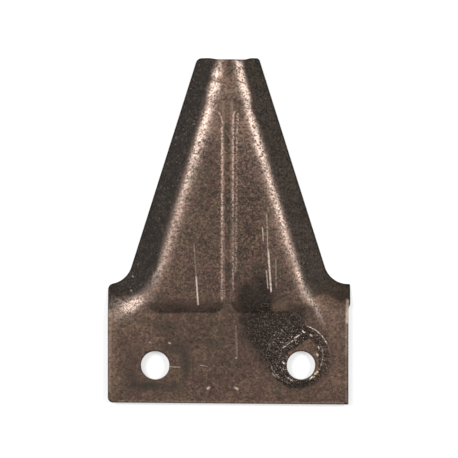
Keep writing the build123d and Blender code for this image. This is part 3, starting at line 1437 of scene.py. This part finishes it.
@dataclass(frozen=True)
class ScaleLook:
    """How the scale's tone swings and is coloured, and how the bevel is dusted."""

    level: float = 0.60
    mottling: tuple[Swing, ...] = ((Layer.MOTTLE, 0.28), (Layer.GRAIN, 0.48), (Layer.FINE, 0.56))
    clouds: Swing = (Layer.CLOUD, 0.10)
    hue: Grain = Grain(6.0, 2.0, 0.6, (4.0, 7.0, 5.0))
    to_olive: Ramp = Ramp(0.38, 0.62)
    to_middle: Ramp = Ramp(-0.1, 0.5)
    to_pale: Ramp = Ramp(0.4, 1.35)
    bevel_edge: Ramp = Ramp(0.62, 0.88)
    bevel_ragged: Swing = (Layer.GRAIN, 0.05)
    dust_level: float = 0.90
    dust: tuple[Swing, ...] = ((Layer.FINE, 0.66), (Layer.GRAIN, 0.36), (Layer.MOTTLE, 0.32))
    least_dust: float = 0.3
    dots: Grain = Grain(0.75, 0.0, 0.5, (8.0, 5.0, 2.0))
    dot_share: Ramp = Ramp(0.72, 0.84, 0.0, 0.6)
    fringe_in: Ramp = Ramp(0.6, 0.8)
    fringe_out: Ramp = Ramp(1.12, 0.86)
    fringe_share: float = 0.5


@dataclass(frozen=True)
class RubAndHighlightLook:
    """How the rubbed metal and its painted highlight are broken up: by grains, and by pits that the
    brightest rub wipes out.
    """

    level: float = 1.05
    grains: tuple[Swing, ...] = ((Layer.FINE, 1.05), (Layer.GRAIN, 0.50), (Layer.MOTTLE, 0.25))
    pits: Grain = Grain(0.7, 1.0, 0.6, (6.0, 1.0, 4.0))
    pit_depth: Ramp = Ramp(0.34, 0.42, 0.30)
    wiped: Ramp = Ramp(0.9, 1.2, 0.0, 0.9)
    print_swings: tuple[Swing, ...] = ((Layer.GRAIN, 0.14), (Layer.FINE, 0.10))
    print_spots: Ramp = Ramp(0.34, 0.62, 0.2)
    nick_and_shade_share: float = 0.9
    rim_share: float = 0.6


@dataclass(frozen=True)
class FilmLook:
    """How thick the dried film lies, and the crust that peppers it."""

    ragged: tuple[Swing, ...] = ((Layer.MOTTLE, 2.4), (Layer.GRAIN, 1.2))
    edge: Ramp = Ramp(-2.0, 3.0)
    sharp_share: float = 0.12
    clean_edge: Ramp = Ramp(-0.1, 0.5)
    ring_edge: Ramp = Ramp(-0.15, 0.45)
    inner_swing: Swing = (Layer.MOTTLE, 1.2)
    inner: Ramp = Ramp(2.2, 5.2)
    inner_loss: float = 0.40
    ring_cover: Ramp = Ramp(1.0, 8.5, 0.97, 0.62)
    plume_cover: float = 0.96
    crust: Grain = Grain(0.52, 1.0, 0.6, (9.0, 2.0, 6.0))
    crust_swing: Swing = (Layer.GRAIN, 0.06)
    crust_dots: Ramp = Ramp(0.52, 0.63)
    crust_share: Ramp = Ramp(-15.0, -4.0, 0.20, 0.62)


@dataclass(frozen=True)
class PaintedGlintLook:
    """Painted glints on the ring print: bright grains, and highlight arcs broken by the finest grain."""

    grains: Grain = Grain(0.40, 1.0, 0.75, (3.0, 3.0, 9.0))
    dots: Ramp = Ramp(0.60, 0.74)
    glint_bias_x: Ramp = Ramp(-8.0, 7.0, 0.025, -0.05)
    glint_bias_y: Ramp = Ramp(-10.0, -6.0, -0.03, 0.0)
    patch_swing: Swing = (Layer.MOTTLE, 0.12)
    patches: Ramp = Ramp(0.3, 0.6, 0.3)
    arcs: tuple[Arc, ...] = (
        Arc(0.30, 0.22, 47.0, 30.0, 0.95),
        Arc(2.3, 0.42, -4.0, 34.0, 0.45),
        Arc(1.2, 0.35, 222.0, 30.0, 0.4),
    )
    arc_core: float = 0.6
    broken: Ramp = Ramp(0.38, 0.56, 0.15)


@dataclass(frozen=True)
class SideLook:
    """The sheared sides: a level and a swing of fine upright lines."""

    lines: Grain = Grain(0.5, 2.0, 0.6, (1.0, 2.0, 3.0), (1.0, 1.0, 6.0))
    level: float = 0.8
    swing: float = 0.35


@dataclass(frozen=True)
class BumpLook:
    """Fine relief of the surface, with its depth in millimetres."""

    pits: Grain = Grain(0.9, 1.0, 0.5, (1.0, 6.0, 3.0))
    pit_edge: Ramp = Ramp(0.38, 0.28)
    pit_depth: float = -0.8
    ring_wrinkles: float = 2.0
    strength: float = 0.6
    depth: float = 0.06


# Bright scratches on the pads and on the base
SCRATCHES = (
    Stroke((-10.8, 38.5), (-9.6, 20.0), 0.30, 0.25),
    Stroke((-10.1, 28.0), (-9.5, 19.4), 0.42, 1.0),
    Stroke((12.2, 47.5), (12.7, 32.0), 0.30, 0.45),
    Stroke((12.7, 36.5), (13.6, 23.5), 0.45, 1.0),
    Stroke((10.9, 43.5), (11.1, 39.5), 0.30, 0.7),
    Stroke((12.1, 30.0), (12.6, 24.5), 0.32, 0.6),
    Stroke((15.1, 33.5), (15.2, 24.5), 0.30, 0.3),
    Stroke((-18.4, -0.4), (-15.2, -0.5), 0.24, 0.5),
    Stroke((-8.8, 0.1), (-6.6, -0.3), 0.24, 0.45),
    Stroke((2.4, 12.5), (2.9, 3.0), 0.50, 0.16),
)

# Painted highlights on the walls of the groove between the pads
GROOVE_HIGHLIGHTS = Marks(
    (
        Stroke((-3.1, 80.2), (-2.3, 79.0), 0.42, 1.3),
        Stroke((-2.3, 79.0), (-1.95, 77.2), 0.45, 1.3),
        Stroke((-1.95, 77.2), (-1.95, 45.0), 0.60, 1.1),
        Stroke((-1.95, 47.0), (-1.9, 21.0), 0.80, 0.55),
        Stroke((2.1, 80.3), (1.65, 79.0), 0.45, 1.1),
        Stroke((1.65, 79.0), (1.5, 50.0), 0.55, 0.95),
        Stroke((1.5, 52.0), (1.5, 24.0), 0.55, 0.45),
        Stroke((3.0, 79.6), (2.7, 66.0), 0.60, 1.1),
        Stroke((2.7, 67.0), (2.5, 30.0), 0.60, 0.6),
    ),
    Ramp(0.42, 0.58, 0.12),
)

# Rubbed edges along the base's sides and its rear; the first stroke is a painted highlight on the right
# side's sheared face
EDGE_RUB_AND_HIGHLIGHTS = Marks(
    (
        Stroke((37.85, 20.6), (37.55, 13.6), 0.75, 1.5),
        Stroke((37.4, 15.0), (37.3, 4.0), 0.60, 0.4),
        Stroke((37.3, 6.0), (37.3, -10.5), 0.50, 0.2),
        Stroke((-37.4, 17.0), (-37.5, -8.0), 0.9, 0.28),
        Stroke((-34.5, -11.3), (36.5, -11.9), 0.6, 0.28),
    ),
    Ramp(0.34, 0.60, 0.5),
)

# Small bright chips, and painted glints in the ring print
CHIPS_AND_GLINTS = (
    Stroke((-6.6, -7.3), (-6.0, -7.0), 0.60, 0.9),
    Stroke((2.0, -7.0), (2.9, -7.4), 0.65, 0.9),
    Stroke((-18.8, 7.2), (-18.3, 7.0), 0.40, 0.7),
    Stroke((-24.9, 7.3), (-24.7, 7.3), 0.40, 0.5),
    Stroke((2.4, 2.5), (2.6, 2.4), 0.40, 0.8),
    Stroke((23.6, 10.9), (24.1, 10.5), 0.36, 1.2),
    Stroke((26.1, 9.8), (26.5, 9.3), 0.36, 1.1),
    Stroke((17.3, 1.1), (17.8, 0.7), 0.42, 1.3),
    Stroke((28.2, 3.7), (28.3, 3.1), 0.42, 1.2),
    Stroke((28.6, 6.0), (28.8, 5.2), 0.34, 1.0),
    Stroke((21.0, 8.6), (22.4, 9.6), 0.34, 0.9),
    Stroke((14.2, -2.8), (15.0, -3.6), 0.34, 0.7),
    Stroke((18.9, -3.9), (20.4, -4.8), 0.42, 0.6),
    Stroke((25.9, -4.3), (26.6, -3.6), 0.32, 1.3),
    Stroke((17.5, 5.7), (18.1, 6.1), 0.30, 0.8),
    Stroke((18.7, 6.6), (19.5, 7.2), 0.28, 0.7),
    Stroke((20.0, 7.5), (20.4, 7.8), 0.32, 0.9),
    Stroke((-30.4, 28.3), (-30.1, 28.0), 0.34, 0.35),
    Stroke((-30.9, 23.8), (-30.6, 23.6), 0.34, 0.45),
)

# Brassy specks in the ring print
GOLD = Marks(
    (
        Stroke((27.6, -2.6), (28.2, -2.1), 0.56, 1.3),
        Stroke((27.0, -3.7), (27.3, -3.5), 0.36, 1.2),
    ),
)

# Dark nicks near the tip, at the pads' upper end and on the right pad's lower wall, and painted shade
# along that wall's lower part
NICKS_AND_WALL_SHADE = Marks(
    (
        Stroke((-4.6, 90.2), (-2.2, 89.6), 0.55, 0.8),
        Stroke((2.9, 90.3), (5.4, 89.3), 0.50, 0.9),
        Stroke((-4.9, 81.8), (-2.6, 84.0), 0.60, 0.55),
        Stroke((-2.6, 84.0), (1.6, 84.4), 0.60, 0.45),
        Stroke((1.6, 84.4), (4.7, 82.4), 0.60, 0.55),
        Stroke((3.2, 86.2), (4.4, 85.9), 0.40, 0.5),
        Stroke((13.2, 19.0), (16.2, 21.3), 0.60, 0.8),
        Stroke((16.2, 21.3), (18.6, 22.3), 0.60, 0.7),
        # Painted shade on the right pad's lower wall
        Stroke((19.4, 19.0), (23.4, 18.3), 1.30, 0.7),
    ),
)


@dataclass
class BladeSteel:
    """The section's material: dark brown scale on steel, rubbed, scratched and stained, with painted
    highlights, glints and shade.
    """

    finish: SteelFinish = SteelFinish()
    scale_look: ScaleLook = ScaleLook()
    rub_and_highlight_look: RubAndHighlightLook = RubAndHighlightLook()
    film_look: FilmLook = FilmLook()
    painted_glint_look: PaintedGlintLook = PaintedGlintLook()
    side_look: SideLook = SideLook()
    bump_look: BumpLook = BumpLook()
    field_middle: float = 0.5
    field_gain: float = 4.0

    def start(self) -> None:
        """Make the empty material and the fields that its steps share."""
        self.material = bpy.data.materials.new("blade_steel")
        self.material.use_nodes = True
        self.sheet = NodeSheet(self.material.node_tree)
        self.place = self.sheet.place()
        self.layers = {layer: self.noise(layer.value) for layer in Layer}

    def noise(self, grain: Grain) -> Socket:
        """Lay a random field over the piece."""
        return self.sheet.noise(self.place, grain)

    def swing(self, field: Socket, amount: float) -> Socket:
        """A random field turned into a swing about nought of about this amount."""
        swing = self.sheet.math("SUBTRACT", field, self.field_middle)
        return self.sheet.times(swing, amount * self.field_gain)

    def swings(self, *swings: Swing) -> list[Socket]:
        """Several shared fields, each turned into a swing."""
        return [self.swing(self.layers[layer], amount) for layer, amount in swings]

    def drawn(self, marks: Marks) -> Socket:
        """Draw strokes of one kind: the strongest at each place, broken up by the finest grain.

        Args:
            marks: The strokes.

        Returns:
            Their strength, from 0 to 1.
        """
        strokes = [self.sheet.stroke(self.place, stroke) for stroke in marks.strokes]
        broken = self.sheet.ramp(self.layers[Layer.FINE], marks.broken)
        return self.sheet.math("MULTIPLY", self.sheet.greatest(*strokes), broken, clamp=True)

    def mottled(self) -> Socket:
        """Colour the scale by its tone: dark, then brown or olive, then pale.

        Returns:
            The colour.
        """
        sheet, f, look = self.sheet, self.finish, self.scale_look
        mottling = sheet.times(sheet.total(*self.swings(*look.mottling)), sheet.attribute("uneven"))
        tone = sheet.total(look.level, sheet.attribute("tone"), *self.swings(look.clouds), mottling)
        middle = sheet.mix(sheet.ramp(self.noise(look.hue), look.to_olive), f.brown, f.olive)
        colour = sheet.mix(sheet.ramp(tone, look.to_middle), f.dark, middle)
        return sheet.mix(sheet.ramp(tone, look.to_pale), colour, f.pale)

    def dusted(self) -> Socket:
        """Colour the bevel: a darker colour times a peppery dust, with dots of crust.

        Returns:
            The colour.
        """
        sheet, f, look = self.sheet, self.finish, self.scale_look
        dust = sheet.total(look.dust_level, sheet.attribute("tone"), *self.swings(*look.dust))
        colour = sheet.tint(f.bevel, sheet.greatest(dust, look.least_dust))
        return sheet.mix(sheet.ramp(self.noise(look.dots), look.dot_share), colour, f.crust)

    def scale(self) -> Socket:
        """Join the mottled scale and the dusted bevel, with a brown fringe between them.

        Returns:
            The colour.
        """
        sheet, look = self.sheet, self.scale_look
        tilt = sheet.attribute("bevel")
        bevel = sheet.ramp(sheet.total(tilt, *self.swings(look.bevel_ragged)), look.bevel_edge)
        fringe = sheet.times(sheet.ramp(tilt, look.fringe_in), sheet.ramp(tilt, look.fringe_out))
        colour = sheet.mix(bevel, self.mottled(), self.dusted())
        return sheet.mix(sheet.times(fringe, look.fringe_share), colour, self.finish.fringe)

    def rubbed_and_highlight(self) -> Socket:
        """Share of rubbed metal and painted highlight: the bend's wear and highlight times its grains and
        its pits.

        Returns:
            The share, from 0 to 1.
        """
        sheet, look = self.sheet, self.rub_and_highlight_look
        rub_and_highlight = sheet.attribute("rub_and_highlight")
        grains = sheet.total(look.level, *self.swings(*look.grains))
        pits = sheet.ramp(self.noise(look.pits), look.pit_depth)
        pits = sheet.greatest(pits, sheet.ramp(rub_and_highlight, look.wiped))
        return sheet.math("MULTIPLY", sheet.times(rub_and_highlight, grains), pits, clamp=True)

    def printed(self, colour: Socket) -> Socket:
        """Lay the spotted print of a head or washer over a colour.

        Args:
            colour: The colour below.

        Returns:
            The new colour.
        """
        sheet, look = self.sheet, self.rub_and_highlight_look
        spots = sheet.total(self.layers[Layer.MOTTLE], *self.swings(*look.print_swings))
        share = sheet.times(sheet.attribute("print"), sheet.ramp(spots, look.print_spots))
        return sheet.mix(share, colour, self.finish.print_olive)

    def arc(self, arc: Arc) -> Socket:
        """Draw a thin painted highlight arc inside the ring's rim.

        Its strength is that of the distance from its line times that of the
        direction, whose cosine is eased between its ends and its core.

        Args:
            arc: The arc.

        Returns:
            Its strength.
        """
        sheet = self.sheet
        inside = sheet.attribute("ring")
        gap = sheet.math("ABSOLUTE", sheet.math("SUBTRACT", inside, arc.level))
        way = math.radians(arc.middle)
        along = sheet.total(
            sheet.times(sheet.attribute("ring_x"), math.cos(way)),
            sheet.times(sheet.attribute("ring_y"), math.sin(way)),
        )
        facing = sheet.math("DIVIDE", along, sheet.math("SUBTRACT", Stains.ring.start_radius, inside))
        end, core = (math.radians(arc.half * share) for share in (1.0, self.painted_glint_look.arc_core))
        ends = sheet.ramp(facing, Ramp(math.cos(end), math.cos(core)))
        return sheet.times(sheet.times(sheet.ramp(gap, Ramp(arc.width, 0.0)), ends), arc.strength)

    def film(self) -> tuple[Socket, Socket, Socket]:
        """Spread the dried film, with ragged edges, over the plume and the ring.

        Returns:
            The plume's share, the ring's share, and how far a place lies
            within the ring's broken middle.
        """
        sheet, look = self.sheet, self.film_look
        ragged = sheet.total(*self.swings(*look.ragged))
        slightly = sheet.times(ragged, look.sharp_share)
        plume = sheet.ramp(sheet.total(sheet.attribute("film"), ragged), look.edge)
        depth = sheet.total(sheet.attribute("ring"), slightly)
        clean = sheet.ramp(sheet.total(sheet.attribute("clean"), slightly), look.clean_edge)
        bare = sheet.math("SUBTRACT", 1.0, clean)
        ring = sheet.times(sheet.ramp(depth, look.ring_edge), bare)
        inner = sheet.ramp(sheet.total(depth, *self.swings(look.inner_swing)), look.inner)
        return sheet.times(plume, bare), ring, inner

    def painted_glints(self, ring: Socket) -> Socket:
        """Scatter painted glints, grains and arcs, over the ring.

        Args:
            ring: The ring's share.

        Returns:
            The share of painted glint.
        """
        sheet, look = self.sheet, self.painted_glint_look
        patches = sheet.total(self.layers[Layer.CLOUD], *self.swings(look.patch_swing))
        lift = sheet.total(
            sheet.ramp(sheet.attribute("ring_x"), look.glint_bias_x),
            sheet.ramp(sheet.attribute("ring_y"), look.glint_bias_y),
        )
        dots = sheet.ramp(sheet.total(self.noise(look.grains), lift), look.dots)
        dots = sheet.times(dots, sheet.times(ring, sheet.ramp(patches, look.patches)))
        bright = sheet.greatest(dots, *(self.arc(arc) for arc in look.arcs))
        return sheet.times(bright, sheet.ramp(self.layers[Layer.FINE], look.broken))

    def stained(self, colour: Socket) -> tuple[Socket, Socket, Socket]:
        """Lay the dried film over a colour.

        The film is thin and evenly peppered in the plume. In the ring it is
        thick and nearly black at the rim and broken further in, with painted
        glints, bright grains and arcs, over it.

        Args:
            colour: The colour below.

        Returns:
            The new colour, the plume's share and the ring's share.
        """
        sheet, f, look = self.sheet, self.finish, self.film_look
        plume, ring, inner = self.film()
        cover = sheet.ramp(sheet.attribute("ring_x"), look.ring_cover)
        thick = sheet.times(ring, sheet.math("SUBTRACT", cover, sheet.times(inner, look.inner_loss)))
        colour = sheet.mix(sheet.greatest(sheet.times(plume, look.plume_cover), thick), colour, f.film)
        crust = sheet.total(self.noise(look.crust), *self.swings(look.crust_swing))
        near = sheet.ramp(sheet.attribute("ring"), look.crust_share)
        pepper = sheet.times(sheet.ramp(crust, look.crust_dots), sheet.times(plume, near))
        colour = sheet.mix(pepper, colour, f.crust)
        # Painted glints and highlight arcs over the ring
        return sheet.mix(self.painted_glints(ring), colour, f.scratch_and_glint), plume, ring

    def sheared(self) -> Socket:
        """The sheared sides' colour, with fine upright lines."""
        lines = self.swing(self.noise(self.side_look.lines), self.side_look.swing)
        return self.sheet.tint(self.finish.sheared, self.sheet.total(self.side_look.level, lines))

    def bump(self, plume: Socket, ring: Socket) -> Socket:
        """Raise fine relief: grain and pits, and the wrinkled film, thickest in the ring.

        Args:
            plume: The plume's share.
            ring: The ring's share.

        Returns:
            The bumped normal.
        """
        sheet, look = self.sheet, self.bump_look
        fine = self.layers[Layer.FINE]
        pits = sheet.times(sheet.ramp(self.noise(look.pits), look.pit_edge), look.pit_depth)
        wrinkles = sheet.times(fine, sheet.total(plume, sheet.times(ring, look.ring_wrinkles)))
        node = self.material.node_tree.nodes.new("ShaderNodeBump")
        node.inputs["Strength"].default_value = look.strength
        node.inputs["Distance"].default_value = look.depth * MM
        sheet.feed(sheet.total(fine, self.layers[Layer.GRAIN], pits, wrinkles), node.inputs["Height"])
        return node.outputs["Normal"]

    def build(self) -> bpy.types.Material:
        """Make the material from the colours, the marks and the mesh's attributes.

        Returns:
            The material.
        """
        self.start()
        sheet, f = self.sheet, self.finish
        # Rubbed metal, with a painted highlight along the bends
        rub_and_highlight = self.rubbed_and_highlight()
        colour = sheet.mix(rub_and_highlight, self.printed(self.scale()), f.rubbed_and_highlight)
        # Dark nicks, and painted shade on the right pad's lower wall
        colour = sheet.mix(sheet.times(self.drawn(NICKS_AND_WALL_SHADE), self.rub_and_highlight_look.nick_and_shade_share), colour, f.dark)
        colour, plume, ring = self.stained(colour)
        # Painted highlights on the groove's walls
        colour = sheet.mix(self.drawn(GROOVE_HIGHLIGHTS), colour, f.groove_highlight)
        colour = sheet.mix(sheet.times(sheet.attribute("rim"), self.rub_and_highlight_look.rim_share), colour, f.dark)
        # Rubbed edges, and a painted highlight on the right side's sheared face
        colour = sheet.mix(self.drawn(EDGE_RUB_AND_HIGHLIGHTS), colour, f.rubbed_and_highlight)
        # Scratches and chips, and painted glints in the ring
        colour = sheet.mix(self.drawn(Marks(SCRATCHES + CHIPS_AND_GLINTS)), colour, f.scratch_and_glint)
        colour = sheet.mix(self.drawn(GOLD), colour, f.gold)
        colour = sheet.mix(sheet.attribute("wall"), colour, self.sheared())

        shader = self.material.node_tree.nodes["Principled BSDF"]
        shader.inputs["Metallic"].default_value = f.metallic
        sheet.feed(colour, shader.inputs["Base Color"])
        worn = sheet.times(sheet.greatest(rub_and_highlight, ring), f.worn_gloss)
        rough = sheet.total(f.roughness, *self.swings(f.roughness_swing), worn)
        sheet.feed(rough, shader.inputs["Roughness"])
        sheet.feed(self.bump(plume, ring), shader.inputs["Normal"])
        return self.material


@dataclass(frozen=True)
class Lamp:
    """A square soft lamp that faces the blade.

    It hangs a tilt off the vertical and a turn round from the X axis, both in
    degrees, at a distance in metres, with its side in metres and its power in
    watts.
    """

    name: str
    tilt: float
    turn: float
    size: float
    power: float
    distance: float = 1.0


@dataclass
class Studio:
    """Pale floor, soft lights and the camera above the section.

    The photo's pixel and the middle of the view are in millimetres on the
    blade's top, whose height is in metres, like the floor's reach.
    """

    photo_pixels: float = 458.0
    pixel: float = 0.31644
    centre: Point = (0.28, 43.2)
    top: float = 0.004
    lens: float = 200.0
    sensor: float = 36.0
    reach: float = 2.0
    paper: Colour = (0.86, 0.86, 0.86)
    paper_roughness: float = 0.9
    paper_glow: float = 0.45
    white: Colour = (1.0, 1.0, 1.0)
    surroundings: float = 0.3
    lamps: tuple[Lamp, ...] = (
        Lamp("left_lamp", 27.0, 155.0, 0.36, 3.9),
        Lamp("right_lamp", 26.0, 12.0, 0.2, 2.8),
    )

    def paper_material(self) -> bpy.types.Material:
        """Make the floor's paper.

        It glows a little as the camera sees it, in reflections and through
        glass, and lights nothing else.

        Returns:
            The material.
        """
        material = bpy.data.materials.new("floor_paper")
        material.use_nodes = True
        tree = material.node_tree
        sheet = NodeSheet(tree)
        shader = tree.nodes["Principled BSDF"]
        sheet.feed(self.paper, shader.inputs["Base Color"])
        sheet.feed(self.paper_roughness, shader.inputs["Roughness"])
        rays = tree.nodes.new("ShaderNodeLightPath")
        kinds = ("Camera", "Glossy", "Transmission")
        seen = sheet.greatest(*(rays.outputs[f"Is {kind} Ray"] for kind in kinds))
        glow = tree.nodes.new("ShaderNodeEmission")
        sheet.feed(self.white, glow.inputs["Color"])
        sheet.feed(sheet.times(seen, self.paper_glow), glow.inputs["Strength"])
        both = tree.nodes.new("ShaderNodeAddShader")
        sheet.feed(shader.outputs[0], both.inputs[0])
        sheet.feed(glow.outputs[0], both.inputs[1])
        sheet.feed(both.outputs[0], tree.nodes["Material Output"].inputs["Surface"])
        return material

    def floor(self) -> None:
        """Lay the pale floor under the section."""
        r = self.reach
        mesh = bpy.data.meshes.new("floor")
        mesh.from_pydata([(-r, -r, 0), (r, -r, 0), (r, r, 0), (-r, r, 0)], [], [(0, 1, 2, 3)])
        mesh.materials.append(self.paper_material())
        floor = bpy.data.objects.new("floor", mesh)
        bpy.context.scene.collection.objects.link(floor)

    def camera(self) -> None:
        """Look straight down, so far off that the photo's width fills the view."""
        width = self.photo_pixels * self.pixel * MM
        data = bpy.data.cameras.new("camera")
        data.lens = self.lens
        data.sensor_width = self.sensor
        camera = bpy.data.objects.new("camera", data)
        height = width * self.lens / self.sensor + self.top
        camera.location = (self.centre[0] * MM, self.centre[1] * MM, height)
        bpy.context.scene.collection.objects.link(camera)
        bpy.context.scene.camera = camera

    def hang(self, lamp: Lamp) -> None:
        """Hang a lamp along its direction from the middle of the view.

        Args:
            lamp: The lamp.
        """
        data = bpy.data.lights.new(lamp.name, "AREA")
        data.shape = "SQUARE"
        data.size = lamp.size
        data.energy = lamp.power
        light = bpy.data.objects.new(lamp.name, data)
        turn, tilt = math.radians(lamp.turn), math.radians(lamp.tilt)
        way = Vector((math.sin(tilt) * math.cos(turn), math.sin(tilt) * math.sin(turn), math.cos(tilt)))
        middle = Vector((self.centre[0] * MM, self.centre[1] * MM, 0.0))
        light.location = middle + way * lamp.distance
        light.rotation_euler = way.to_track_quat("Z", "Y").to_euler()
        bpy.context.scene.collection.objects.link(light)

    def world(self) -> None:
        """Set even grey surroundings."""
        world = bpy.data.worlds.new("surroundings")
        bpy.context.scene.world = world
        world.use_nodes = True
        back = world.node_tree.nodes["Background"]
        back.inputs["Color"].default_value = (*self.white, 1.0)
        back.inputs["Strength"].default_value = self.surroundings

    def build(self) -> None:
        """Set the whole studio up."""
        bpy.context.scene.view_settings.view_transform = "Standard"
        self.floor()
        self.camera()
        self.world()
        for lamp in self.lamps:
            self.hang(lamp)


def main() -> None:
    """Build the section, dress it and set up the studio."""
    sizes = SectionSizes()
    blade = BladeMesh(sizes, Outline(sizes), TopFace(sizes)).build("blade")
    blade.data.materials.append(BladeSteel().build())
    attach(blade, "root")
    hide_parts("sickle_section")
    Studio().build()


if __name__ == "__main__":
    main()
